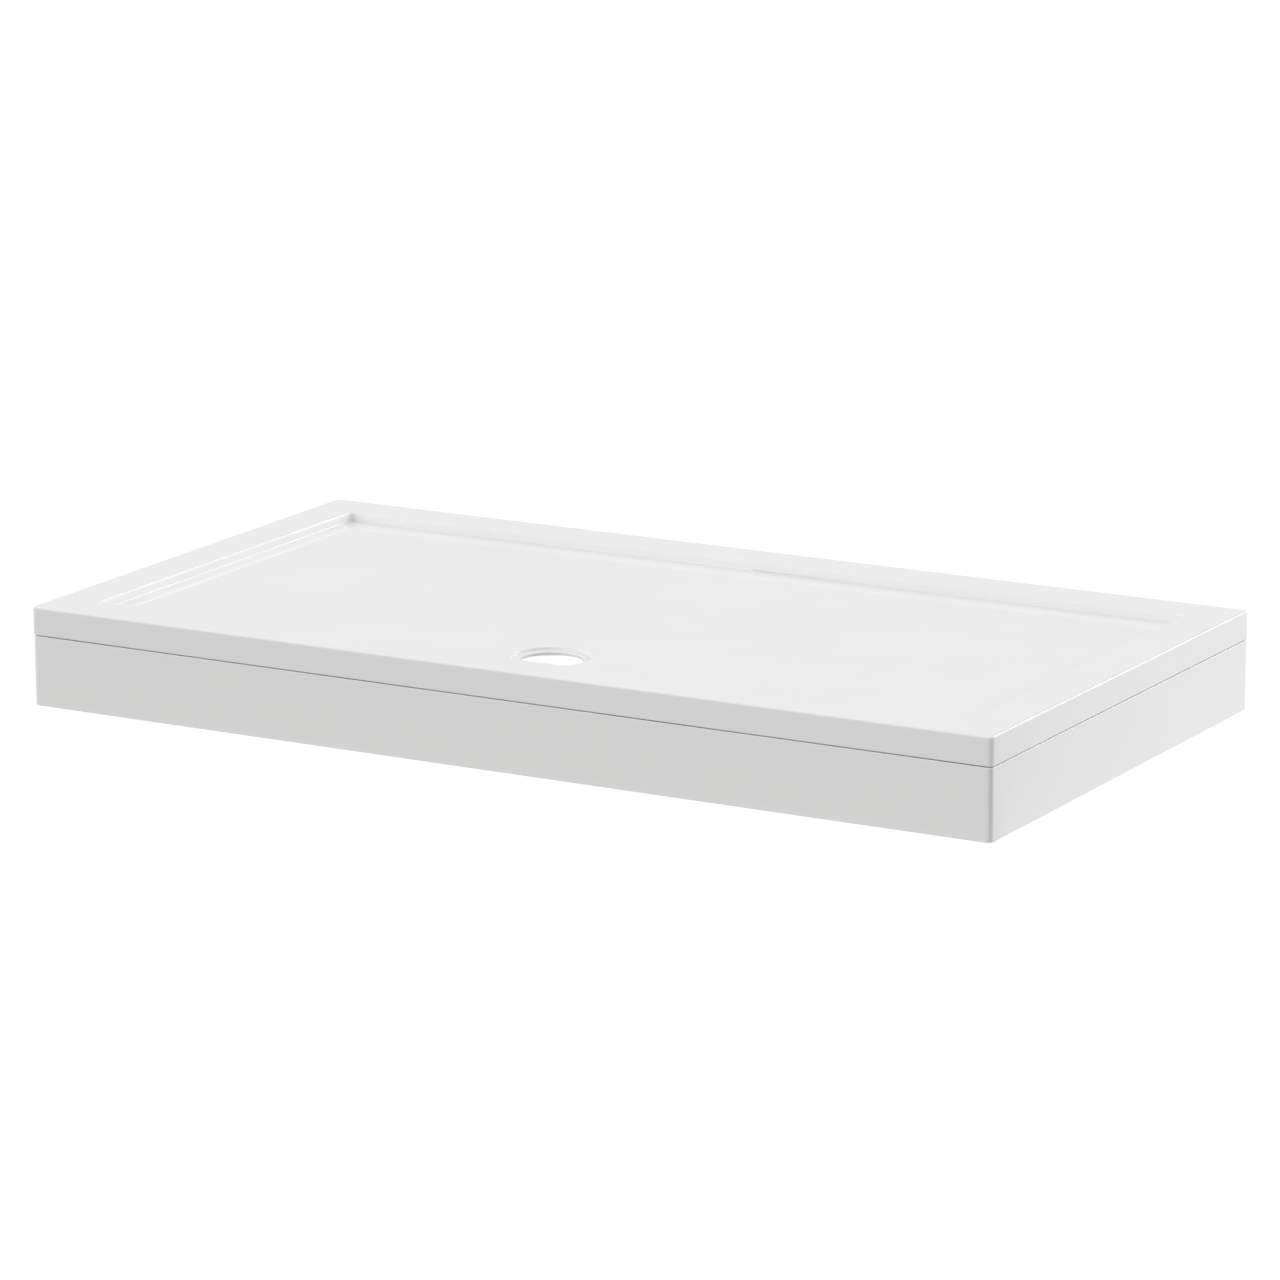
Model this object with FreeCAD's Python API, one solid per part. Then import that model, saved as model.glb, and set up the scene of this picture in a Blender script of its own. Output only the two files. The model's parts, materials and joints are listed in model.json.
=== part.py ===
import FreeCAD, Part
import math
import os

from FreeCAD import Vector

# A rectangular raised shower tray: an acrylic-capped cast tray on ten screw legs, with a front and a right
# plinth panel that clip on to the legs. Millimetres, +Z up. The origin is on the floor under the tray's
# middle. +X runs along the long side to the right, and the front with the waste hole faces -Y.

# Tray
TRAY_LENGTH = 1500.0
TRAY_WIDTH = 800.0
TRAY_THICKNESS = 40.0
CORNER_RADIUS = 7.5
TOP_EDGE_RADIUS = 3.0
LOWER_EDGE_RADIUS = 1.0
CAP_THICKNESS = 3.0

# Basin
RIM_WIDTH = 66.0
BASIN_DEPTH = 13.5
BASIN_DRAFT = 1.5
BASIN_CORNER_RADIUS = 9.0
RIM_INNER_RADIUS = 3.0
BASIN_FOOT_RADIUS = 3.0
DISH_MARGIN = 5.0
FLOOR_FALL = 3.5

# Waste hole, with a recess for the waste's flange above it and a relief for its body below
WASTE_FROM_FRONT = 160.0
HOLE_DIAMETER = 90.0
RECESS_DIAMETER = 110.0
RECESS_DEPTH = 4.5
LIP_THICKNESS = 4.5
LEVEL_RING = 5.0
RELIEF_DIAMETER = 200.0
RECESS_EDGE_RADIUS = 1.2
LEDGE_CAP_THICKNESS = 2.0

# Plinth
PANEL_HEIGHT = 100.0
PANEL_THICKNESS = 10.0
PANEL_INSET = 0.5
PANEL_TOP_RADIUS = 1.5
PANEL_FOOT_RADIUS = 1.0
SHADOW_GAP = 1.5
MITRE_GAP = 0.15

# Legs
LEG_SETBACK = 75.0
INNER_LEG_X = 235.0
MIDDLE_LEG_X = 445.0
STUD_DIAMETER = 12.0
RUNNING_CLEARANCE = 0.06
FLANGE_DIAMETER = 72.0
FLANGE_THICKNESS = 4.0
BARREL_DIAMETER = 32.0
BARREL_BOTTOM = 52.0
THREAD_TOP = 80.0
FREE_BORE_DIAMETER = 16.0
GUSSET_THICKNESS = 3.0
GUSSET_BOTTOM = 88.5
GUSSET_REACH = 34.0
GUSSETS = 4
STUD_TOP = 86.0
THREAD_END_CHAMFER = 1.0
NUT_ACROSS_FLATS = 19.0
NUT_HEIGHT = 7.0
NUT_CORNER_CUT = 0.6
NUT_CHAMFER = 1.0
COLLAR_HEIGHT = 8.0
SPIGOT_DIAMETER = 10.0
SPIGOT_BOTTOM = 8.0
SPIGOT_END_GAP = 0.5
FOOT_DIAMETER = 70.0
FOOT_RIM_HEIGHT = 5.0
FOOT_CHAMFER = 1.5
HUB_DIAMETER = 30.0
HUB_TOP = 24.0
FOOT_RIBS = 6
FOOT_RIB_THICKNESS = 3.0
FOOT_RIB_TOP = 18.0
RIB_ROOT = 1.0

# Screws
SCREW_SHANK_DIAMETER = 3.8
SCREW_HEAD_DIAMETER = 8.0
SCREW_HEAD_HEIGHT = 2.6
SCREW_HEAD_ROUND = 1.2
SCREW_POINT_CHAMFER = 1.0
SCREW_CLEARANCE = 0.05
LEG_SCREW_LENGTH = 16.0
LEG_SCREW_CIRCLE = 56.0
LEG_SCREWS = 3
LEG_SCREW_FIRST_ANGLE = 45.0
PANEL_SCREW_LENGTH = 11.0

# Clips: a plate on the panel, a web, and jaws that push over a leg's barrel
CLIP_GAP = 0.4
CLIP_WALL = 3.0
CLIP_HEIGHT = 14.0
CLIP_PRONG = 10.0
CLIP_WEB = 12.0
CLIP_PLATE_WIDTH = 46.0
CLIP_PLATE_HEIGHT = 26.0
CLIP_SCREW_SPACING = 32.0
FRONT_CLIP_Z = 80.5
RIGHT_CLIP_Z = 62.0

# Corner bracket
BRACKET_LEG = 34.0
BRACKET_THICKNESS = 2.0
BRACKET_BOTTOM = 12.0
BRACKET_TOP = 92.0
BRACKET_CLEARANCE = 0.4
BRACKET_SCREW_X = 18.0
BRACKET_SCREW_Z = (26.0, 78.0)

# Working values
UP = Vector(0, 0, 1)
EVERYWHERE = (TRAY_LENGTH, TRAY_WIDTH)
TOLERANCE = 1e-3
OVERCUT = 5.0

# Levels and places worked out from the dimensions
tray_base_z = PANEL_HEIGHT + SHADOW_GAP
rim_z = tray_base_z + TRAY_THICKNESS
floor_z = rim_z - BASIN_DEPTH
waste_floor_z = floor_z - FLOOR_FALL
ledge_z = waste_floor_z - RECESS_DEPTH
lip_z = ledge_z - LIP_THICKNESS
waste_y = -TRAY_WIDTH / 2 + WASTE_FROM_FRONT
waste_at = Vector(0, waste_y, 0)
panel_half_length = TRAY_LENGTH / 2 - PANEL_INSET
panel_half_width = TRAY_WIDTH / 2 - PANEL_INSET
panel_back_x = panel_half_length - PANEL_THICKNESS
panel_back_y = panel_half_width - PANEL_THICKNESS
outer_leg_x = TRAY_LENGTH / 2 - LEG_SETBACK
outer_leg_y = TRAY_WIDTH / 2 - LEG_SETBACK
clip_reach = panel_back_y - outer_leg_y
flange_z = tray_base_z - FLANGE_THICKNESS
stud_bore_radius = STUD_DIAMETER / 2 + RUNNING_CLEARANCE
screw_hole_radius = SCREW_SHANK_DIAMETER / 2 + SCREW_CLEARANCE

FRONT_LEGS = [(x, -outer_leg_y) for x in (-outer_leg_x, -INNER_LEG_X, INNER_LEG_X, outer_leg_x)]
MIDDLE_LEGS = [(x, 0.0) for x in (-MIDDLE_LEG_X, MIDDLE_LEG_X)]
BACK_LEGS = [(x, outer_leg_y) for x in (-outer_leg_x, -INNER_LEG_X, INNER_LEG_X, outer_leg_x)]
LEGS = FRONT_LEGS + MIDDLE_LEGS + BACK_LEGS
RIGHT_END_LEGS = [(outer_leg_x, -outer_leg_y), (outer_leg_x, outer_leg_y)]


# General shapes

def cylinder(diameter, z_low, z_high, at=Vector(0, 0, 0)):
    """Upright cylinder between two levels."""
    return Part.makeCylinder(diameter / 2, z_high - z_low, at + UP * z_low)


def box(x_low, x_high, y_low, y_high, z_low, z_high):
    """Rectangular block between its limits on each axis."""
    return Part.makeBox(x_high - x_low, y_high - y_low, z_high - z_low, Vector(x_low, y_low, z_low))


def prism(points, z_low, z_high):
    """Upright prism on a plan outline."""
    corners = [Vector(x, y, z_low) for x, y in points + points[:1]]
    return Part.Face(Part.makePolygon(corners)).extrude(UP * (z_high - z_low))


def hexagon(across_flats, z_low, z_high):
    """Upright hexagonal prism about the Z axis."""
    radius = across_flats / math.sqrt(3)
    angles = [math.radians(60 * i) for i in range(6)]
    return prism([(radius * math.cos(a), radius * math.sin(a)) for a in angles], z_low, z_high)


def rib(reach_in, reach_out, z_low, z_high, thickness, rises_outward):
    """Upright triangular rib along +X; its slope runs up towards the outside or down towards it."""
    outer_z = z_high if rises_outward else z_low
    points = [(reach_in, z_low), (reach_in, z_high), (reach_out, outer_z)]
    corners = [Vector(x, -thickness / 2, z) for x, z in points + points[:1]]
    return Part.Face(Part.makePolygon(corners)).extrude(Vector(0, thickness, 0))


def turned(shape, degrees):
    """Copy of a shape turned about the Z axis."""
    return shape.copy().rotated(Vector(0, 0, 0), UP, degrees)


def moved(shape, x, y, z=0.0):
    """Copy of a shape at another place."""
    return shape.copy().translated(Vector(x, y, z))


def level_edges(shape, z, within):
    """Edges that lie at one level and inside a plan box given by its half sizes about the Z axis."""
    found = []
    for edge in shape.Edges:
        limits = edge.BoundBox
        level = abs(limits.ZMin - z) < TOLERANCE and abs(limits.ZMax - z) < TOLERANCE
        inside = max(-limits.XMin, limits.XMax) < within[0] and max(-limits.YMin, limits.YMax) < within[1]
        if level and inside:
            found.append(edge)
    return found


def outline_points(half_x, half_y, radius):
    """Ends of the sides of a rounded rectangle, anticlockwise from the front side's left end."""
    inner_x = half_x - radius
    inner_y = half_y - radius
    return [
        (-inner_x, -half_y), (inner_x, -half_y), (half_x, -inner_y), (half_x, inner_y),
        (inner_x, half_y), (-inner_x, half_y), (-half_x, inner_y), (-half_x, -inner_y),
    ]


def rounded_rectangle(half_x, half_y, radius, z):
    """Closed wire of four sides and four quarter arcs."""
    ends = [Vector(x, y, z) for x, y in outline_points(half_x, half_y, radius)]
    to_middle = radius * (1 - math.sqrt(0.5))
    edges = []
    for i in range(0, 8, 2):
        edges.append(Part.LineSegment(ends[i], ends[i + 1]).toShape())
        start = ends[i + 1]
        finish = ends[(i + 2) % 8]
        corner = Vector(math.copysign(half_x, start.x), math.copysign(half_y, start.y), z)
        inward = Vector(-math.copysign(to_middle, corner.x), -math.copysign(to_middle, corner.y), 0)
        edges.append(Part.Arc(start, corner + inward, finish).toShape())
    return Part.Wire(edges)


def rounded_block(half_x, half_y, radius, z_low, z_high):
    """Upright block with rounded vertical corners."""
    return Part.Face(rounded_rectangle(half_x, half_y, radius, z_low)).extrude(UP * (z_high - z_low))


# Tray

def basin_space(grow):
    """Space above the basin's level border, widened and deepened by grow, with a rounded foot."""
    top_x = TRAY_LENGTH / 2 - RIM_WIDTH + grow
    top_y = TRAY_WIDTH / 2 - RIM_WIDTH + grow
    bottom_z = floor_z - grow
    corner = BASIN_CORNER_RADIUS + grow
    lower = rounded_rectangle(top_x - BASIN_DRAFT, top_y - BASIN_DRAFT, corner, bottom_z)
    upper = rounded_rectangle(top_x, top_y, corner, rim_z)
    space = Part.makeLoft([lower, upper], True, True)
    return space.makeFillet(BASIN_FOOT_RADIUS, level_edges(space, bottom_z, EVERYWHERE))


def dish_space(drop):
    """Shallow dish that falls from the basin's border to a level ring round the waste hole."""
    inset = RIM_WIDTH + BASIN_DRAFT + BASIN_FOOT_RADIUS + DISH_MARGIN
    half_x = TRAY_LENGTH / 2 - inset
    half_y = TRAY_WIDTH / 2 - inset
    border = rounded_rectangle(half_x, half_y, BASIN_CORNER_RADIUS, floor_z - drop)
    ring_radius = RECESS_DIAMETER / 2 + LEVEL_RING
    ring_z = waste_floor_z - drop
    angles = [math.atan2(y - waste_y, x) for x, y in outline_points(half_x, half_y, BASIN_CORNER_RADIUS)]
    arcs = []
    for i, start in enumerate(angles):
        sweep = (angles[(i + 1) % len(angles)] - start) % (2 * math.pi)
        on_ring = [start, start + sweep / 2, start + sweep]
        outward = [Vector(math.cos(a), math.sin(a), 0) for a in on_ring]
        points = [waste_at + ring_radius * way + UP * ring_z for way in outward]
        arcs.append(Part.Arc(*points).toShape())
    return Part.makeLoft([border, Part.Wire(arcs)], True, True)


def waste_hole_spaces():
    """The waste hole and the wider relief under its lip."""
    hole = cylinder(HOLE_DIAMETER, tray_base_z - OVERCUT, rim_z, waste_at)
    relief = cylinder(RELIEF_DIAMETER, tray_base_z - OVERCUT, lip_z, waste_at)
    return [hole, relief]


def casting():
    """Filling under the cap, which also backs the lip of the waste hole."""
    half_x = TRAY_LENGTH / 2 - CAP_THICKNESS
    half_y = TRAY_WIDTH / 2 - CAP_THICKNESS
    block = rounded_block(half_x, half_y, CORNER_RADIUS - CAP_THICKNESS, tray_base_z, rim_z - CAP_THICKNESS)
    recess_diameter = RECESS_DIAMETER + 2 * CAP_THICKNESS
    recess = cylinder(recess_diameter, ledge_z - LEDGE_CAP_THICKNESS, rim_z, waste_at)
    return block.cut([basin_space(CAP_THICKNESS), dish_space(CAP_THICKNESS), recess] + waste_hole_spaces())


def make_tray_core():
    """The casting with blind holes for the leg screws."""
    hole_top = flange_z + LEG_SCREW_LENGTH + SCREW_CLEARANCE
    holes = []
    for x, y in LEGS:
        for offset in leg_screw_offsets():
            at = Vector(x, y, 0) + offset
            holes.append(cylinder(2 * screw_hole_radius, tray_base_z - OVERCUT, hole_top, at))
    return casting().cut(holes)


def make_tray_surface():
    """Moulded cap: all of the tray that the casting doesn't fill."""
    tray = rounded_block(TRAY_LENGTH / 2, TRAY_WIDTH / 2, CORNER_RADIUS, tray_base_z, rim_z)
    tray = tray.makeFillet(TOP_EDGE_RADIUS, level_edges(tray, rim_z, EVERYWHERE))
    tray = tray.makeFillet(LOWER_EDGE_RADIUS, level_edges(tray, tray_base_z, EVERYWHERE))
    recess = cylinder(RECESS_DIAMETER, ledge_z, rim_z, waste_at)
    tray = tray.cut([basin_space(0.0), dish_space(0.0), recess] + waste_hole_spaces())
    inner_rim = (TRAY_LENGTH / 2 - RIM_WIDTH / 2, TRAY_WIDTH / 2 - RIM_WIDTH / 2)
    tray = tray.makeFillet(RIM_INNER_RADIUS, level_edges(tray, rim_z, inner_rim))
    mouth = level_edges(tray, waste_floor_z, (RECESS_DIAMETER, TRAY_WIDTH))
    mouth = [edge for edge in mouth if abs(edge.Curve.Radius - RECESS_DIAMETER / 2) < TOLERANCE]
    ledge = level_edges(tray, ledge_z, (RECESS_DIAMETER, TRAY_WIDTH))
    tray = tray.makeFillet(RECESS_EDGE_RADIUS, mouth + ledge)
    return tray.cut(casting())


# Legs

def leg_screw_offsets():
    """Places of one socket's screws about its axis."""
    angles = [math.radians(LEG_SCREW_FIRST_ANGLE + i * 360 / LEG_SCREWS) for i in range(LEG_SCREWS)]
    return [Vector(math.cos(a), math.sin(a), 0) * (LEG_SCREW_CIRCLE / 2) for a in angles]


def make_leg_socket():
    """Flange with gussets on a barrel whose lower bore takes the stud; the upper bore is free."""
    socket = cylinder(FLANGE_DIAMETER, flange_z, tray_base_z)
    socket = socket.fuse(cylinder(BARREL_DIAMETER, BARREL_BOTTOM, flange_z))
    root = BARREL_DIAMETER / 2 - RIB_ROOT
    gusset = rib(root, GUSSET_REACH, GUSSET_BOTTOM, flange_z, GUSSET_THICKNESS, True)
    for i in range(GUSSETS):
        socket = socket.fuse(turned(gusset, i * 360 / GUSSETS))
    bores = [
        cylinder(2 * stud_bore_radius, BARREL_BOTTOM - OVERCUT, THREAD_TOP),
        cylinder(FREE_BORE_DIAMETER, THREAD_TOP, tray_base_z + OVERCUT),
    ]
    for offset in leg_screw_offsets():
        bores.append(cylinder(2 * screw_hole_radius, flange_z - OVERCUT, tray_base_z + OVERCUT, offset))
    return socket.cut(bores).removeSplitter()


def make_leg_stud():
    """Stud with a spanner hexagon that sits on the foot, and a spigot that turns in it."""
    stud = cylinder(STUD_DIAMETER, HUB_TOP, STUD_TOP)
    stud = stud.makeChamfer(THREAD_END_CHAMFER, level_edges(stud, STUD_TOP, EVERYWHERE))
    collar = hexagon(NUT_ACROSS_FLATS, HUB_TOP, HUB_TOP + COLLAR_HEIGHT)
    spigot = cylinder(SPIGOT_DIAMETER, SPIGOT_BOTTOM, HUB_TOP)
    return stud.fuse([collar, spigot]).removeSplitter()


def make_lock_nut():
    """Hexagon nut under the barrel, its corners turned off."""
    nut_low = BARREL_BOTTOM - NUT_HEIGHT
    nut = hexagon(NUT_ACROSS_FLATS, nut_low, BARREL_BOTTOM)
    across_corners = 2 * NUT_ACROSS_FLATS / math.sqrt(3)
    rounded = cylinder(across_corners - NUT_CORNER_CUT, nut_low, BARREL_BOTTOM)
    ends = level_edges(rounded, nut_low, EVERYWHERE) + level_edges(rounded, BARREL_BOTTOM, EVERYWHERE)
    rounded = rounded.makeChamfer(NUT_CHAMFER, ends)
    bore = cylinder(2 * stud_bore_radius, nut_low - OVERCUT, BARREL_BOTTOM + OVERCUT)
    return nut.common(rounded).cut(bore)


def make_foot():
    """Round foot: a rim disc, a hub with a blind bore for the stud, and ribs between them."""
    disc = cylinder(FOOT_DIAMETER, 0.0, FOOT_RIM_HEIGHT)
    disc = disc.makeChamfer(FOOT_CHAMFER, level_edges(disc, FOOT_RIM_HEIGHT, EVERYWHERE))
    foot = disc.fuse(cylinder(HUB_DIAMETER, 0.0, HUB_TOP))
    web = rib(
        HUB_DIAMETER / 2 - RIB_ROOT, FOOT_DIAMETER / 2 - 2 * FOOT_CHAMFER,
        FOOT_RIM_HEIGHT, FOOT_RIB_TOP, FOOT_RIB_THICKNESS, False,
    )
    for i in range(FOOT_RIBS):
        foot = foot.fuse(turned(web, i * 360 / FOOT_RIBS))
    bore_radius = SPIGOT_DIAMETER / 2 + RUNNING_CLEARANCE
    bore = cylinder(2 * bore_radius, SPIGOT_BOTTOM - SPIGOT_END_GAP, HUB_TOP + OVERCUT)
    return foot.cut(bore).removeSplitter()


# Fasteners

def make_screw(length):
    """Pan-head screw pointing up, the underside of its head at zero."""
    head = cylinder(SCREW_HEAD_DIAMETER, -SCREW_HEAD_HEIGHT, 0.0)
    head = head.makeFillet(SCREW_HEAD_ROUND, level_edges(head, -SCREW_HEAD_HEIGHT, EVERYWHERE))
    shank = cylinder(SCREW_SHANK_DIAMETER, 0.0, length)
    shank = shank.makeChamfer(SCREW_POINT_CHAMFER, level_edges(shank, length, EVERYWHERE))
    return head.fuse(shank).removeSplitter()


def make_leg_screws():
    """The screws of all leg sockets."""
    screw = make_screw(LEG_SCREW_LENGTH)
    offsets = leg_screw_offsets()
    return Part.makeCompound([moved(screw, x + at.x, y + at.y, flange_z) for x, y in LEGS for at in offsets])


def front_screw_places():
    """(x, y of the seat, z) of the screws that go into the front panel from behind."""
    seat = -panel_back_y + CLIP_WALL
    places = []
    for x, _ in FRONT_LEGS:
        for side in (-1, 1):
            places.append((x + side * CLIP_SCREW_SPACING / 2, seat, FRONT_CLIP_Z))
    bracket_seat = -panel_back_y + BRACKET_THICKNESS
    bracket_x = panel_back_x - BRACKET_CLEARANCE - BRACKET_SCREW_X
    for z in BRACKET_SCREW_Z:
        places.append((bracket_x, bracket_seat, z))
    return places


def right_screw_places():
    """(x of the seat, y, z) of the screws that go into the right panel from behind."""
    seat = panel_back_x - CLIP_WALL
    return [
        (seat, y + side * CLIP_SCREW_SPACING / 2, RIGHT_CLIP_Z)
        for _, y in RIGHT_END_LEGS
        for side in (-1, 1)
    ]


def make_front_panel_screws():
    """Screws pointing to the front."""
    screw = make_screw(PANEL_SCREW_LENGTH).rotated(Vector(0, 0, 0), Vector(1, 0, 0), 90)
    return Part.makeCompound([moved(screw, *place) for place in front_screw_places()])


def make_right_panel_screws():
    """Screws pointing to the right."""
    screw = make_screw(PANEL_SCREW_LENGTH).rotated(Vector(0, 0, 0), Vector(0, 1, 0), 90)
    return Part.makeCompound([moved(screw, *place) for place in right_screw_places()])


def front_screw_hole(place, depth):
    """Space of one screw that points to the front."""
    return Part.makeCylinder(screw_hole_radius, depth, Vector(*place), Vector(0, -1, 0))


def right_screw_hole(place, depth):
    """Space of one screw that points to the right."""
    return Part.makeCylinder(screw_hole_radius, depth, Vector(*place), Vector(1, 0, 0))


# Plinth

def plinth_envelope():
    """Outside of the plinth, with the tray's corner radius and softened edges."""
    block = rounded_block(panel_half_length, panel_half_width, CORNER_RADIUS, 0.0, PANEL_HEIGHT)
    block = block.makeFillet(PANEL_TOP_RADIUS, level_edges(block, PANEL_HEIGHT, EVERYWHERE))
    return block.makeFillet(PANEL_FOOT_RADIUS, level_edges(block, 0.0, EVERYWHERE))


def make_front_panel():
    """Front board, mitred at its right end, with blind holes for its screws."""
    gap = MITRE_GAP / math.sqrt(2)
    plan = [
        (-panel_half_length, -panel_half_width), (panel_half_length - gap, -panel_half_width),
        (panel_back_x - gap, -panel_back_y), (-panel_half_length, -panel_back_y),
    ]
    panel = plinth_envelope().common(prism(plan, 0.0, PANEL_HEIGHT))
    depth = PANEL_SCREW_LENGTH + SCREW_CLEARANCE
    return panel.cut([front_screw_hole(place, depth) for place in front_screw_places()])


def make_right_panel():
    """End board, mitred at its front end, with blind holes for its screws."""
    gap = MITRE_GAP / math.sqrt(2)
    plan = [
        (panel_half_length, -panel_half_width + gap), (panel_half_length, panel_half_width),
        (panel_back_x, panel_half_width), (panel_back_x, -panel_back_y + gap),
    ]
    panel = plinth_envelope().common(prism(plan, 0.0, PANEL_HEIGHT))
    depth = PANEL_SCREW_LENGTH + SCREW_CLEARANCE
    return panel.cut([right_screw_hole(place, depth) for place in right_screw_places()])


def make_clip():
    """Clip about a barrel on the Z axis, its mid height at zero: jaws open to +Y, plate at -Y."""
    jaw_radius = BARREL_DIAMETER / 2 + CLIP_GAP
    outer_radius = jaw_radius + CLIP_WALL
    half_height = CLIP_HEIGHT / 2
    plate_y = -clip_reach + CLIP_WALL
    jaws = cylinder(2 * outer_radius, -half_height, half_height)
    jaws = jaws.common(box(-outer_radius, outer_radius, -outer_radius, 0.0, -half_height, half_height))
    jaws = jaws.fuse(box(-outer_radius, outer_radius, 0.0, CLIP_PRONG, -half_height, half_height))
    web = box(-CLIP_WEB / 2, CLIP_WEB / 2, plate_y, -jaw_radius, -half_height, half_height)
    plate = box(
        -CLIP_PLATE_WIDTH / 2, CLIP_PLATE_WIDTH / 2, -clip_reach, plate_y,
        -CLIP_PLATE_HEIGHT / 2, CLIP_PLATE_HEIGHT / 2,
    )
    mouth = cylinder(2 * jaw_radius, -CLIP_HEIGHT, CLIP_HEIGHT)
    slot = box(-jaw_radius, jaw_radius, 0.0, CLIP_PRONG + OVERCUT, -CLIP_HEIGHT, CLIP_HEIGHT)
    clip = jaws.fuse([web, plate]).cut([mouth, slot])
    depth = CLIP_WALL + 2 * OVERCUT
    for side in (-1, 1):
        clip = clip.cut(front_screw_hole((side * CLIP_SCREW_SPACING / 2, plate_y + OVERCUT, 0), depth))
    return clip.removeSplitter()


def make_corner_bracket():
    """Angle behind the mitre, fixed to the front panel and just clear of the right panel."""
    right = panel_back_x - BRACKET_CLEARANCE
    front = -panel_back_y
    plan = [
        (right - BRACKET_LEG, front), (right, front), (right, front + BRACKET_LEG),
        (right - BRACKET_THICKNESS, front + BRACKET_LEG),
        (right - BRACKET_THICKNESS, front + BRACKET_THICKNESS),
        (right - BRACKET_LEG, front + BRACKET_THICKNESS),
    ]
    bracket = prism(plan, BRACKET_BOTTOM, BRACKET_TOP)
    places = front_screw_places()[-len(BRACKET_SCREW_Z):]
    return bracket.cut([front_screw_hole(place, PANEL_SCREW_LENGTH) for place in places])


def make_parts():
    """Every sub-part in its place, by name."""
    parts = {
        "tray_surface": make_tray_surface(),
        "tray_core": make_tray_core(),
        "leg_screws": make_leg_screws(),
        "front_panel": make_front_panel(),
        "front_panel_screws": make_front_panel_screws(),
        "right_panel": make_right_panel(),
        "right_panel_screws": make_right_panel_screws(),
        "corner_bracket": make_corner_bracket(),
    }
    clip = make_clip()
    for number, (x, y) in enumerate(FRONT_LEGS, 1):
        parts[f"front_clip_{number}"] = moved(clip, x, y, FRONT_CLIP_Z)
    for number, (x, y) in enumerate(RIGHT_END_LEGS, 1):
        parts[f"right_clip_{number}"] = moved(turned(clip, 90), x, y, RIGHT_CLIP_Z)
    leg_pieces = {
        "leg_socket": make_leg_socket(),
        "lock_nut": make_lock_nut(),
        "leg_stud": make_leg_stud(),
        "foot": make_foot(),
    }
    for number, (x, y) in enumerate(LEGS, 1):
        for name, shape in leg_pieces.items():
            parts[f"{name}_{number:02d}"] = moved(shape, x, y)
    return parts


os.makedirs("parts", exist_ok=True)
for node, shape in make_parts().items():
    shape.exportStep(f"parts/{node}.step")
    print(f"{node}: {len(shape.Solids)} solids, {shape.Volume / 1000:.1f} cm3, valid {shape.isValid()}")
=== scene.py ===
"""Shower tray on adjustable legs with a clip-on plinth: materials, turned details, studio and camera.

Lengths are in metres in the CAD frame: +X to the right along the long side, the front faces -Y, +Z up.
"""
import json
import math

import bmesh
import bpy
from mathutils import Matrix, Vector


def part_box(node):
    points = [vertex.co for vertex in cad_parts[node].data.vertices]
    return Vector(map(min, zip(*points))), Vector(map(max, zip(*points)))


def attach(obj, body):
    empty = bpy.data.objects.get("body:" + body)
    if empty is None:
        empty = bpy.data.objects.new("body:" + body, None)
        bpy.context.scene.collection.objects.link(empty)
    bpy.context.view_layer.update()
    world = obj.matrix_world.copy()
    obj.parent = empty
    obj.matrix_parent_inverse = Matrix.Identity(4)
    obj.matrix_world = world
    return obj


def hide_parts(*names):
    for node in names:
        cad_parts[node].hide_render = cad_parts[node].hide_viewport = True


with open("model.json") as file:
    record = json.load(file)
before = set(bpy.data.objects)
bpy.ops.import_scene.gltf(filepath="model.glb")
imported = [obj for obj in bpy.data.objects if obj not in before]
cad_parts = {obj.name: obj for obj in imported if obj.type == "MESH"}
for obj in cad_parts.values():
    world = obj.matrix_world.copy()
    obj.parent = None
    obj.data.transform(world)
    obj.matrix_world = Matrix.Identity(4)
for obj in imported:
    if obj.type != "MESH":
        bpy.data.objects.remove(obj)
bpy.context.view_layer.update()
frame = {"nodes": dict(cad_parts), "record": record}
NODES = frame["nodes"]
LEGS = [f"{i:02d}" for i in range(1, 11)]
FRONT_CLIPS = [f"front_clip_{i}" for i in range(1, 5)]
RIGHT_CLIPS = [f"right_clip_{i}" for i in range(1, 3)]

# Stud: heights over the floor, and the thread's corners as (radius, share of the pitch)
PITCH = 0.00175
MAJOR_RADIUS = 0.006
ROOT_RADIUS = 0.00495
THREAD_PROFILE = ((ROOT_RADIUS, 0.0), (MAJOR_RADIUS, 0.34), (MAJOR_RADIUS, 0.48), (ROOT_RADIUS, 0.82))
THREAD_CHAMFER = 0.001
ACROSS_FLATS = 0.019
COLLAR_CHAMFER_FROM = 0.985
COLLAR_CHAMFER_ANGLE = 30
COLLAR_HEIGHT = 0.008
SPIGOT_RADIUS = 0.005
SPIGOT_CHAMFER = 0.0005
SPIGOT_LOW = 0.008
HUB_TOP = 0.024
STUD_TOP = 0.086
SHARP_EDGE_ANGLE = 35.0

# Screw: its recess and its crown as (share of the radius, depth under the crown's top)
HEAD_RADIUS = 0.004
HEAD_HEIGHT = 0.0026
SHANK_RADIUS = 0.0019
POINT_LENGTH = 0.001
EDGE_BREAK = 0.0001
CROSS_ARM = 0.0005
CROSS_REACH = 0.0021
CROSS_PROFILE = ((0.45, 0.0014), (0.95, 0.0003), (1.0, 0.0))
CROWN_PROFILE = ((0.68, 0.0001), (0.86, 0.0004), (0.96, 0.0009), (1.0, 0.0015))

# Places of the screws
FLANGE_THICKNESS = 0.004
LEG_SCREW_CIRCLE_RADIUS = 0.028
LEG_SCREW_ANGLES = (45, 165, 285)
LEG_SCREW_LENGTH = 0.016
PANEL_SCREW_LENGTH = 0.011
CLIP_WALL = 0.003
CLIP_SCREW_OFFSET = 0.016
BRACKET_THICKNESS = 0.002
BRACKET_SCREW_FROM_EDGE = 0.018
BRACKET_SCREW_HEIGHTS = (0.026, 0.078)


# Materials

ACRYLIC_IOR = 1.49


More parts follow.
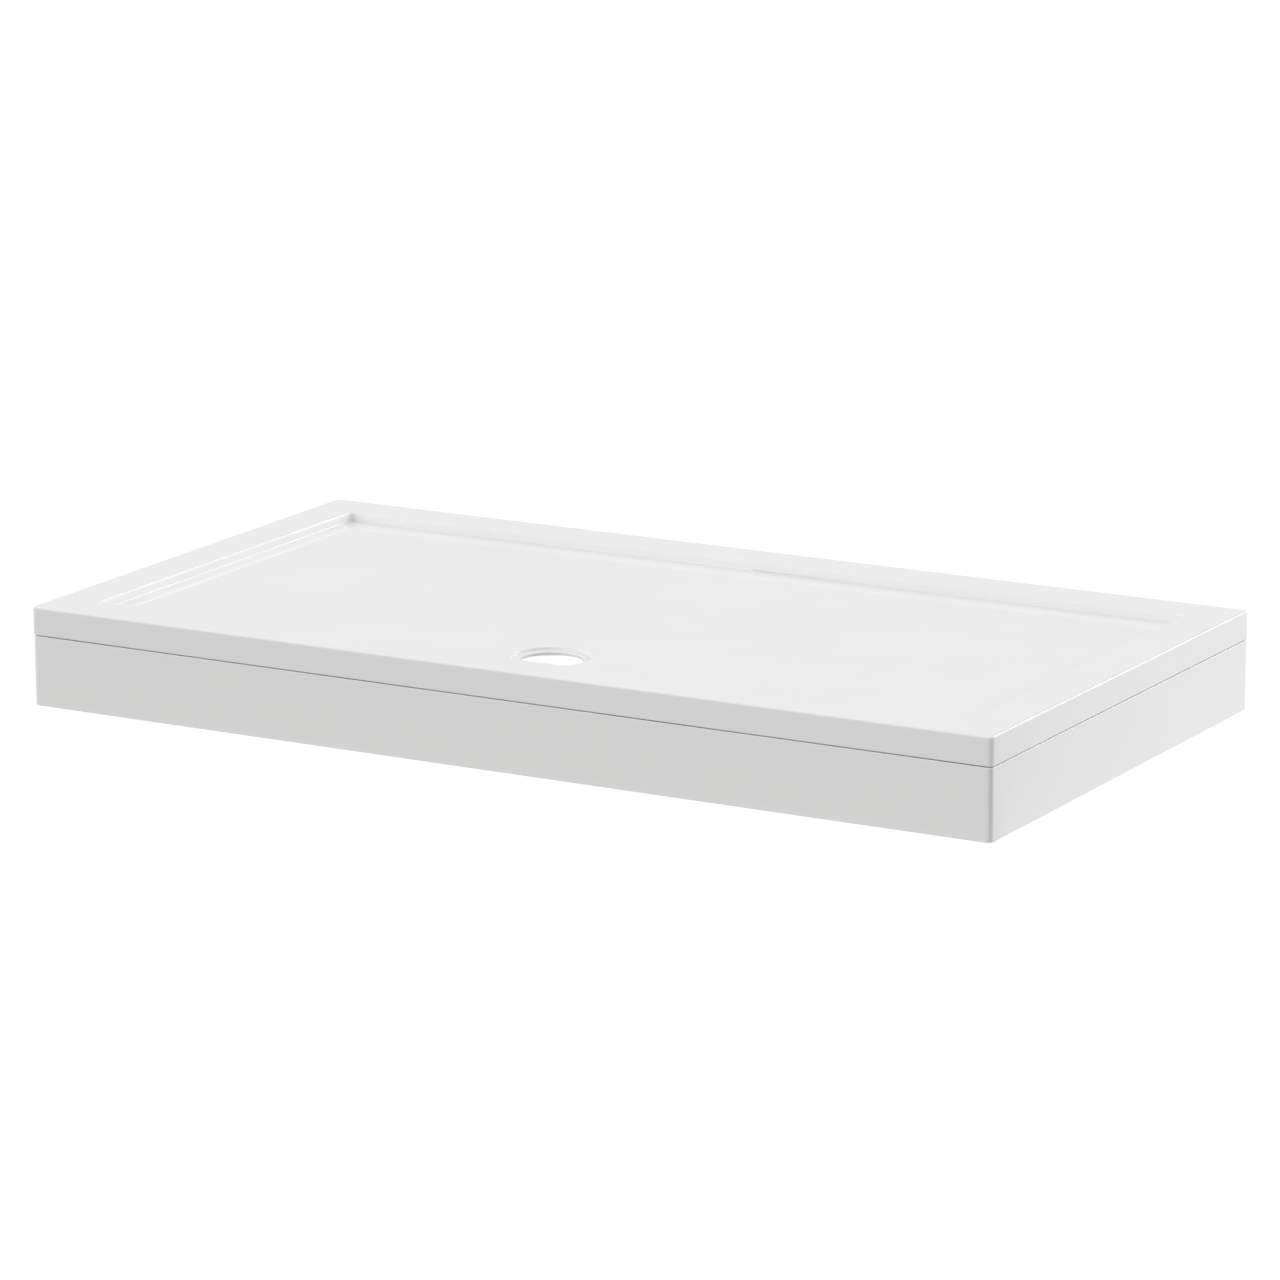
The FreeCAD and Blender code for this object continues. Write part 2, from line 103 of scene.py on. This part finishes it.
class Graph:
    """Short way to write a material's nodes."""

    def __init__(self, name):
        self.material = bpy.data.materials.new(name)
        self.material.use_nodes = True
        self.tree = self.material.node_tree
        self.tree.nodes.clear()

    def node(self, kind, settings=None, **sockets):
        made = self.tree.nodes.new(kind)
        for key, value in (settings or {}).items():
            setattr(made, key, value)
        for key, value in sockets.items():
            socket = made.inputs[key.replace("_", " ")]
            if isinstance(value, bpy.types.NodeSocket):
                self.tree.links.new(value, socket)
            else:
                socket.default_value = value
        return made

    def coordinates(self):
        return self.node("ShaderNodeTexCoord").outputs["Object"]

    def noise(self, scale, detail=2.0, roughness=0.5, stretch=None):
        at = self.coordinates()
        if stretch:
            at = self.node("ShaderNodeMapping", Vector=at, Scale=stretch).outputs["Vector"]
        made = self.node("ShaderNodeTexNoise", Vector=at, Scale=scale, Detail=detail, Roughness=roughness)
        return made.outputs["Fac"]

    def ramp(self, factor, *stops):
        made = self.node("ShaderNodeValToRGB", Fac=factor)
        elements = made.color_ramp.elements
        while len(elements) < len(stops):
            elements.new(0.5)
        for element, (position, colour) in zip(elements, stops):
            element.position = position
            element.color = (*colour, 1.0)
        return made.outputs["Color"]

    def span(self, factor, low, high):
        """Spreads the middle of a noise over the range from low to high."""
        made = self.node("ShaderNodeMapRange", Value=factor)
        made.inputs["From Min"].default_value = 0.3
        made.inputs["From Max"].default_value = 0.7
        made.inputs["To Min"].default_value = low
        made.inputs["To Max"].default_value = high
        return made.outputs["Result"]

    def bump(self, height, distance, strength=1.0, over=None):
        made = self.node("ShaderNodeBump", Height=height, Distance=distance, Strength=strength)
        if over is not None:
            self.tree.links.new(over, made.inputs["Normal"])
        return made.outputs["Normal"]

    def finish(self, **sockets):
        shader = self.node("ShaderNodeBsdfPrincipled", **sockets)
        out = self.node("ShaderNodeOutputMaterial")
        self.tree.links.new(shader.outputs["BSDF"], out.inputs["Surface"])
        return self.material


def gloss_white(name, pale, deep, rough_low, rough_high):
    """Polished white plastic: a faint cloud of tone, uneven polish and a very shallow orange peel."""
    g = Graph(name)
    tone = g.ramp(g.noise(5.0, 3.0), (0.35, deep), (0.65, pale))
    polish = g.span(g.noise(28.0, 4.0, 0.6), rough_low, rough_high)
    peel = g.bump(g.noise(420.0, 2.0), 0.00001, 0.2)
    return g.finish(Base_Color=tone, Roughness=polish, Normal=peel, IOR=ACRYLIC_IOR)


def cast_resin():
    """Cast stone resin as it leaves the mould: chalky, with filler specks and small pits."""
    g = Graph("cast_resin")
    cloud = g.ramp(g.noise(9.0, 5.0, 0.6), (0.3, (0.76, 0.745, 0.71)), (0.7, (0.85, 0.84, 0.815)))
    cells = g.node("ShaderNodeTexVoronoi", Vector=g.coordinates(), Scale=330.0)
    speck = g.ramp(cells.outputs["Distance"], (0.12, (0.62, 0.60, 0.57)), (0.24, (1.0, 1.0, 1.0)))
    colour = g.node("ShaderNodeMix", {"data_type": "RGBA", "blend_type": "MULTIPLY"})
    colour.inputs["Factor"].default_value = 0.55
    g.tree.links.new(cloud, colour.inputs["A"])
    g.tree.links.new(speck, colour.inputs["B"])
    grain = g.bump(g.noise(260.0, 5.0, 0.65), 0.0004, 0.6)
    pits = g.bump(g.noise(60.0, 3.0), 0.0012, 0.5, grain)
    rough = g.span(g.noise(40.0, 3.0), 0.72, 0.92)
    return g.finish(Base_Color=colour.outputs["Result"], Roughness=rough, Normal=pits)


def moulded_plastic(name, dark, pale, rough):
    """Filled polypropylene: satin, finely eroded by the mould, faintly streaked along the flow."""
    g = Graph(name)
    streak = g.noise(34.0, 4.0, 0.6, (1.0, 1.0, 0.22))
    colour = g.ramp(streak, (0.3, dark), (0.7, pale))
    sheen = g.span(g.noise(90.0, 3.0), rough - 0.07, rough + 0.07)
    texture = g.bump(g.noise(1500.0, 3.0, 0.6), 0.00006, 0.6)
    return g.finish(Base_Color=colour, Roughness=sheen, Normal=texture)


def zinc_steel():
    """Bright zinc plate: cool grey with a faint straw tint in places, and fine scratches."""
    g = Graph("zinc_steel")
    tint = g.ramp(g.noise(70.0, 4.0, 0.6), (0.32, (0.60, 0.62, 0.66)), (0.56, (0.68, 0.68, 0.67)),
                  (0.72, (0.72, 0.68, 0.58)))
    rough = g.span(g.noise(160.0, 4.0, 0.7), 0.24, 0.42)
    scratch = g.bump(g.noise(700.0, 3.0, 0.6, (1.0, 1.0, 0.12)), 0.00003, 0.5)
    return g.finish(Base_Color=tint, Roughness=rough, Normal=scratch, Metallic=1.0)


MATERIALS = {
    "cap_acrylic": gloss_white("cap_acrylic", (0.872, 0.872, 0.868), (0.858, 0.858, 0.854), 0.03, 0.055),
    "panel_white": gloss_white("panel_white", (0.868, 0.868, 0.862), (0.856, 0.856, 0.850), 0.04, 0.07),
    "cast_resin": cast_resin(),
    "leg_plastic": moulded_plastic("leg_plastic", (0.032, 0.032, 0.035), (0.055, 0.055, 0.058), 0.42),
    "clip_plastic": moulded_plastic("clip_plastic", (0.27, 0.28, 0.29), (0.33, 0.34, 0.35), 0.48),
    "zinc_steel": zinc_steel(),
}


def dress_cad_nodes():
    """Gives every CAD node the procedural material of its slot."""
    for row in frame["record"]["subparts"]:
        node = NODES[row["node"]]
        material = MATERIALS[row["material_slot"]]
        if not node.material_slots:
            node.data.materials.append(material)
        for slot in node.material_slots:
            slot.material = material


# Turned and threaded details

def skin(mesh, lower, upper):
    """Quads between two rings of the same length."""
    for i in range(len(lower)):
        j = (i + 1) % len(lower)
        mesh.faces.new((lower[i], lower[j], upper[j], upper[i]))


def even_angles(steps):
    """Angles once round, in equal steps."""
    return [2 * math.pi * i / steps for i in range(steps)]


def ring(mesh, radius, z, angles):
    """Ring of vertices; radius and z are numbers or functions of the angle."""
    made = []
    for angle in angles:
        r = radius(angle) if callable(radius) else radius
        level = z(angle) if callable(z) else z
        made.append(mesh.verts.new((r * math.cos(angle), r * math.sin(angle), level)))
    return made


def add_stack(mesh, rings, angles):
    """Closed skin through rings given as (radius, z) pairs from the lowest to the highest."""
    rows = [ring(mesh, r, z, angles) for r, z in rings]
    for lower, upper in zip(rows, rows[1:]):
        skin(mesh, lower, upper)
    mesh.faces.new(list(reversed(rows[0])))
    mesh.faces.new(rows[-1])
    return [vertex for row in rows for vertex in row]


def add_thread(mesh, z_low, z_high, steps=36):
    """Helical thread with flat crests and roots, chamfered at its upper end."""
    turns = math.ceil((z_high - z_low) / PITCH) + 2
    rows = []
    for k in range(turns * steps + 1):
        angle = 2 * math.pi * k / steps
        row = []
        for radius, share in THREAD_PROFILE:
            z = z_low + (k / steps - 1 + share) * PITCH
            z = min(max(z, z_low), z_high)
            r = min(radius, MAJOR_RADIUS - max(0.0, z - z_high + THREAD_CHAMFER))
            row.append(mesh.verts.new((r * math.cos(angle), r * math.sin(angle), z)))
        rows.append(row)
    for k in range(len(rows) - 1):
        for j in range(len(THREAD_PROFILE) - 1):
            mesh.faces.new((rows[k][j], rows[k + 1][j], rows[k + 1][j + 1], rows[k][j + 1]))
        if k + 1 + steps < len(rows):
            mesh.faces.new((rows[k][-1], rows[k + 1][-1], rows[k + 1 + steps][0], rows[k + steps][0]))


def hexagon_radius(angle):
    """Distance from the axis to a hexagon's side at an angle."""
    within = (angle + math.pi / 6) % (math.pi / 3) - math.pi / 6
    return ACROSS_FLATS / 2 / math.cos(within - math.copysign(math.pi / 6, within))


def add_collar(mesh, z_low, z_high):
    """Spanner hexagon with its corners turned off above and below."""
    flat = ACROSS_FLATS / 2 * COLLAR_CHAMFER_FROM

    def drop(angle):
        return (hexagon_radius(angle) - flat) * math.tan(math.radians(COLLAR_CHAMFER_ANGLE))

    add_stack(mesh, [
        (flat, z_low), (hexagon_radius, lambda a: z_low + drop(a)),
        (hexagon_radius, lambda a: z_high - drop(a)), (flat, z_high),
    ], even_angles(96))


def stud_mesh():
    """Stud about the Z axis, at its height over the floor."""
    mesh = bmesh.new()
    add_stack(mesh, [
        (SPIGOT_RADIUS - SPIGOT_CHAMFER, SPIGOT_LOW), (SPIGOT_RADIUS, SPIGOT_LOW + SPIGOT_CHAMFER),
        (SPIGOT_RADIUS, HUB_TOP),
    ], even_angles(36))
    add_collar(mesh, HUB_TOP, HUB_TOP + COLLAR_HEIGHT)
    add_thread(mesh, HUB_TOP + COLLAR_HEIGHT, STUD_TOP)
    return to_data(mesh, "stud")


def to_data(mesh, name):
    """Finished mesh data with sharp edges kept."""
    bmesh.ops.remove_doubles(mesh, verts=mesh.verts, dist=1e-7)
    bmesh.ops.recalc_face_normals(mesh, faces=mesh.faces)
    for face in mesh.faces:
        face.smooth = True
    for edge in mesh.edges:
        if len(edge.link_faces) == 2 and edge.calc_face_angle(0.0) > math.radians(SHARP_EDGE_ANGLE):
            edge.smooth = False
    data = bpy.data.meshes.new(name)
    mesh.to_mesh(data)
    mesh.free()
    return data


def cross_radius(angle):
    """Distance from the axis to the outline of a cross with four arms."""
    across = abs((angle + math.pi / 4) % (math.pi / 2) - math.pi / 4)
    return min(CROSS_REACH / math.cos(across), CROSS_ARM / max(math.sin(across), 1e-6))


def add_screw(mesh, matrix, length):
    """Pan-head screw with a cross recess, pointing up from the underside of its head at zero."""
    corner = math.atan2(CROSS_ARM, CROSS_REACH)
    quarter = [-math.pi / 4, -math.pi / 6, -corner, 0.0, corner, math.pi / 6]
    angles = [turn * math.pi / 2 + a for turn in range(4) for a in quarter]

    def cross(share):
        return lambda angle: share * cross_radius(angle)

    rings = [(cross(share), depth - HEAD_HEIGHT) for share, depth in CROSS_PROFILE]
    rings += [(share * HEAD_RADIUS, depth - HEAD_HEIGHT) for share, depth in CROWN_PROFILE]
    rings += [
        (HEAD_RADIUS, -EDGE_BREAK), (HEAD_RADIUS - EDGE_BREAK, 0.0), (SHANK_RADIUS, 0.0),
        (SHANK_RADIUS, length - POINT_LENGTH), (SHANK_RADIUS - POINT_LENGTH, length),
    ]
    made = add_stack(mesh, rings, angles)
    bmesh.ops.transform(mesh, matrix=matrix, verts=made)


def place(data, name, body, slot, *nodes):
    """Puts mesh data in the scene on its body, in place of CAD nodes."""
    piece = bpy.data.objects.new(name, data)
    bpy.context.scene.collection.objects.link(piece)
    data.materials.append(MATERIALS[slot])
    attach(piece, body)
    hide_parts(*nodes)
    return piece


def make_studs():
    """A threaded stud in place of each plain one."""
    for leg in LEGS:
        low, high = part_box(f"leg_stud_{leg}")
        data = stud_mesh()
        data.transform(Matrix.Translation(((low.x + high.x) / 2, (low.y + high.y) / 2, 0.0)))
        place(data, f"threaded_stud_{leg}", f"stud_{leg}", "zinc_steel", f"leg_stud_{leg}")


def make_leg_screws():
    """Cross-recessed screws up through the flange of each socket."""
    mesh = bmesh.new()
    for leg in LEGS:
        low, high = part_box(f"leg_socket_{leg}")
        middle = (low + high) / 2
        for angle in map(math.radians, LEG_SCREW_ANGLES):
            way = Vector((math.cos(angle), math.sin(angle), 0.0)) * LEG_SCREW_CIRCLE_RADIUS
            at = Vector((middle.x, middle.y, high.z - FLANGE_THICKNESS)) + way
            add_screw(mesh, Matrix.Translation(at) @ Matrix.Rotation(angle, 4, "Z"), LEG_SCREW_LENGTH)
    place(to_data(mesh, "leg_screws"), "cross_screws_legs", "root", "zinc_steel", "leg_screws")


def make_front_screws():
    """Cross-recessed screws forward through the front panel's clips and the corner bracket."""
    forward = Matrix.Rotation(math.pi / 2, 4, "X")
    mesh = bmesh.new()
    for clip in FRONT_CLIPS:
        low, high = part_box(clip)
        middle = (low + high) / 2
        for side in (-1, 1):
            at = Vector((middle.x + side * CLIP_SCREW_OFFSET, low.y + CLIP_WALL, middle.z))
            add_screw(mesh, Matrix.Translation(at) @ forward, PANEL_SCREW_LENGTH)
    low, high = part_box("corner_bracket")
    for height in BRACKET_SCREW_HEIGHTS:
        at = Vector((high.x - BRACKET_SCREW_FROM_EDGE, low.y + BRACKET_THICKNESS, height))
        add_screw(mesh, Matrix.Translation(at) @ forward, PANEL_SCREW_LENGTH)
    data = to_data(mesh, "front_screws")
    place(data, "cross_screws_front", "front_plinth", "zinc_steel", "front_panel_screws")


def make_right_screws():
    """Cross-recessed screws to the right through the right panel's clips."""
    rightward = Matrix.Rotation(math.pi / 2, 4, "Y")
    mesh = bmesh.new()
    for clip in RIGHT_CLIPS:
        low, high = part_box(clip)
        middle = (low + high) / 2
        for side in (-1, 1):
            at = Vector((high.x - CLIP_WALL, middle.y + side * CLIP_SCREW_OFFSET, middle.z))
            add_screw(mesh, Matrix.Translation(at) @ rightward, PANEL_SCREW_LENGTH)
    data = to_data(mesh, "right_screws")
    place(data, "cross_screws_right", "right_plinth", "zinc_steel", "right_panel_screws")


dress_cad_nodes()
make_studs()
make_leg_screws()
make_front_screws()
make_right_screws()


# Studio: angles in degrees, cards and suns turned about +Z from +Y and from +X

FLOOR_REACH = 30.0
FLOOR_WHITE = 0.97
FLOOR_SHADE = 0.05
TABLE_FROM = -0.5
TABLE_GLOW = ((0.08, 0.24), (0.14, 0.50), (0.9, 0.66))
SKY_LIGHT = 0.70
CARD_FADE = 0.12
CARDS = {
    "low_card": {"turn": 29.7, "half_width": 40.0, "low": 8.5, "high": 17.5, "distance": 9.0, "glow": 0.72},
    "black_flag": {"turn": 10.0, "half_width": 20.0, "low": 16.5, "high": 40.5, "distance": 8.8, "glow": 0.0},
    "soft_box": {"turn": -17.0, "half_width": 8.0, "low": 21.5, "high": 36.0, "distance": 8.6, "glow": 6.5},
}
SUN_ELEVATION = 24.7
SUN_SPREAD = 40.0
SUNS = {
    "left_sun": {"from_azimuth": 229.0, "strength": 1.09, "tint": (1.0, 1.0, 0.995)},
    "right_sun": {"from_azimuth": 54.0, "strength": 1.41, "tint": (1.0, 1.0, 1.0)},
}
CAMERA_PLACE = (4.1547, -7.2755, 2.1446)
CAMERA_AZIMUTH = 29.715
CAMERA_ELEVATION = 13.739
CAMERA_ROLL = -0.225
FOCAL_LENGTH_IN_PIXELS = 6174.3
FRAME_IN_PIXELS = 1280
SENSOR_WIDTH = 36.0


def any_of(tree, *sockets):
    """Largest of several values."""
    largest = sockets[0]
    for socket in sockets[1:]:
        node = tree.nodes.new("ShaderNodeMath")
        node.operation = "MAXIMUM"
        tree.links.new(largest, node.inputs[0])
        tree.links.new(socket, node.inputs[1])
        largest = node.outputs[0]
    return largest


def rays(tree, *kinds):
    """One for rays of the given kinds and zero for the others."""
    path = tree.nodes.new("ShaderNodeLightPath").outputs
    return any_of(tree, *[path[f"Is {kind} Ray"] for kind in kinds])


def grey(level):
    """Colour of one level in all channels."""
    return (level, level, level, 1.0)


def table_glow(g):
    """Light of the table for what stands on it: faint before the front, stronger beside it and behind."""
    axes = g.node("ShaderNodeSeparateXYZ", Vector=g.coordinates()).outputs
    depth = g.node("ShaderNodeMath", {"operation": "SUBTRACT"})
    g.tree.links.new(axes["Y"], depth.inputs[0])
    depth.inputs[1].default_value = TABLE_FROM
    return g.ramp(depth.outputs[0], *[(at, (tone, tone, tone)) for at, tone in TABLE_GLOW])


def floor_material():
    """Pale light table that shows white to the camera and keeps a faint shadow."""
    g = Graph("floor")
    glow = g.node("ShaderNodeEmission", Color=table_glow(g), Strength=1.0)
    shade = g.node("ShaderNodeBsdfDiffuse", Color=grey(FLOOR_SHADE))
    white = g.node("ShaderNodeEmission", Color=grey(1.0), Strength=FLOOR_WHITE)
    shown = g.node("ShaderNodeAddShader")
    g.tree.links.new(white.outputs[0], shown.inputs[0])
    g.tree.links.new(shade.outputs[0], shown.inputs[1])
    mix = g.node("ShaderNodeMixShader", Fac=rays(g.tree, "Camera", "Glossy", "Transmission"))
    g.tree.links.new(glow.outputs[0], mix.inputs[1])
    g.tree.links.new(shown.outputs[0], mix.inputs[2])
    out = g.node("ShaderNodeOutputMaterial")
    g.tree.links.new(mix.outputs[0], out.inputs["Surface"])
    g.material.cycles.emission_sampling = "NONE"
    return g.material


def make_stage_piece(name, corners, material):
    """Flat quad that belongs to the studio."""
    data = bpy.data.meshes.new(name)
    data.from_pydata(corners, [], [(0, 1, 2, 3)])
    data.materials.append(material)
    piece = bpy.data.objects.new(name, data)
    bpy.context.scene.collection.objects.link(piece)
    return piece


def make_floor():
    """Floor far wider than any view."""
    r = FLOOR_REACH
    make_stage_piece("floor", [(-r, -r, 0), (r, -r, 0), (r, r, 0), (-r, r, 0)], floor_material())


def soft_edges(g):
    """One over the middle of a card, falling smoothly to nothing at its four edges."""
    axes = g.node("ShaderNodeSeparateXYZ", Vector=g.node("ShaderNodeTexCoord").outputs["Generated"]).outputs
    both = g.node("ShaderNodeMath", {"operation": "MULTIPLY"})
    for number, axis in enumerate("XZ"):
        inward = g.node("ShaderNodeMath", {"operation": "PINGPONG"})
        g.tree.links.new(axes[axis], inward.inputs[0])
        inward.inputs[1].default_value = 0.5
        fade = g.node("ShaderNodeMapRange", {"interpolation_type": "SMOOTHSTEP"}, Value=inward.outputs[0])
        fade.inputs["From Max"].default_value = CARD_FADE
        g.tree.links.new(fade.outputs["Result"], both.inputs[number])
    return both.outputs[0]


def make_cards():
    """Cards behind the object that only its gloss reflects: a low grey one, a black one and a bright one."""
    for name, card in CARDS.items():
        g = Graph(name)
        glow = g.node("ShaderNodeEmission", Color=grey(1.0), Strength=card["glow"])
        mix = g.node("ShaderNodeMixShader", Fac=soft_edges(g))
        g.tree.links.new(g.node("ShaderNodeBsdfTransparent").outputs[0], mix.inputs[1])
        g.tree.links.new(glow.outputs[0], mix.inputs[2])
        out = g.node("ShaderNodeOutputMaterial")
        g.tree.links.new(mix.outputs[0], out.inputs["Surface"])
        y = card["distance"]
        half, low, high = (y * math.tan(math.radians(card[end])) for end in ("half_width", "low", "high"))
        corners = [(-half, y, low), (half, y, low), (half, y, high), (-half, y, high)]
        piece = make_stage_piece(name, corners, g.material)
        piece.rotation_euler = (0.0, 0.0, math.radians(card["turn"]))
        piece.visible_camera = False
        piece.visible_diffuse = False
        piece.visible_shadow = False
        piece.visible_transmission = False


def make_world():
    """White background for the camera and for gloss, and a plain level of light for the object."""
    world = bpy.data.worlds.new("studio")
    bpy.context.scene.world = world
    world.use_nodes = True
    tree = world.node_tree
    tree.nodes.clear()
    mix = tree.nodes.new("ShaderNodeMixShader")
    tree.links.new(rays(tree, "Camera", "Glossy", "Transmission"), mix.inputs[0])
    for number, strength in ((1, SKY_LIGHT), (2, 1.0)):
        shade = tree.nodes.new("ShaderNodeBackground")
        shade.inputs["Color"].default_value = grey(1.0)
        shade.inputs["Strength"].default_value = strength
        tree.links.new(shade.outputs[0], mix.inputs[number])
    out = tree.nodes.new("ShaderNodeOutputWorld")
    tree.links.new(mix.outputs[0], out.inputs["Surface"])


def make_suns():
    """Broad soft lights a long way off, so that every part of a long face gets the same."""
    for name, sun in SUNS.items():
        data = bpy.data.lights.new(name, "SUN")
        data.angle = math.radians(SUN_SPREAD)
        data.energy = sun["strength"]
        data.color = sun["tint"]
        made = bpy.data.objects.new(name, data)
        bpy.context.scene.collection.objects.link(made)
        made.visible_glossy = False
        azimuth = math.radians(sun["from_azimuth"])
        elevation = math.radians(SUN_ELEVATION)
        level = math.cos(elevation)
        way = Vector((math.cos(azimuth) * level, math.sin(azimuth) * level, math.sin(elevation)))
        made.rotation_euler = way.to_track_quat("Z", "Y").to_euler()


def make_camera():
    """Camera at the photograph's place, from a fit to the edges of the tray and the plinth."""
    azimuth = math.radians(CAMERA_AZIMUTH)
    elevation = math.radians(CAMERA_ELEVATION)
    roll = math.radians(CAMERA_ROLL)
    level = math.cos(elevation)
    forward = Vector((-math.sin(azimuth) * level, math.cos(azimuth) * level, -math.sin(elevation)))
    right = Vector((math.cos(azimuth), math.sin(azimuth), 0.0))
    up = right.cross(forward)
    turned_right = math.cos(roll) * right + math.sin(roll) * up
    turned_up = math.cos(roll) * up - math.sin(roll) * right
    data = bpy.data.cameras.new("camera")
    data.sensor_width = SENSOR_WIDTH
    data.lens = FOCAL_LENGTH_IN_PIXELS / FRAME_IN_PIXELS * SENSOR_WIDTH
    data.clip_end = 100.0
    camera = bpy.data.objects.new("camera", data)
    bpy.context.scene.collection.objects.link(camera)
    turn = Matrix((turned_right, turned_up, -forward)).transposed()
    camera.matrix_world = Matrix.Translation(CAMERA_PLACE) @ turn.to_4x4()
    bpy.context.scene.camera = camera


make_floor()
make_cards()
make_world()
make_suns()
make_camera()
bpy.context.scene.view_settings.view_transform = "Standard"
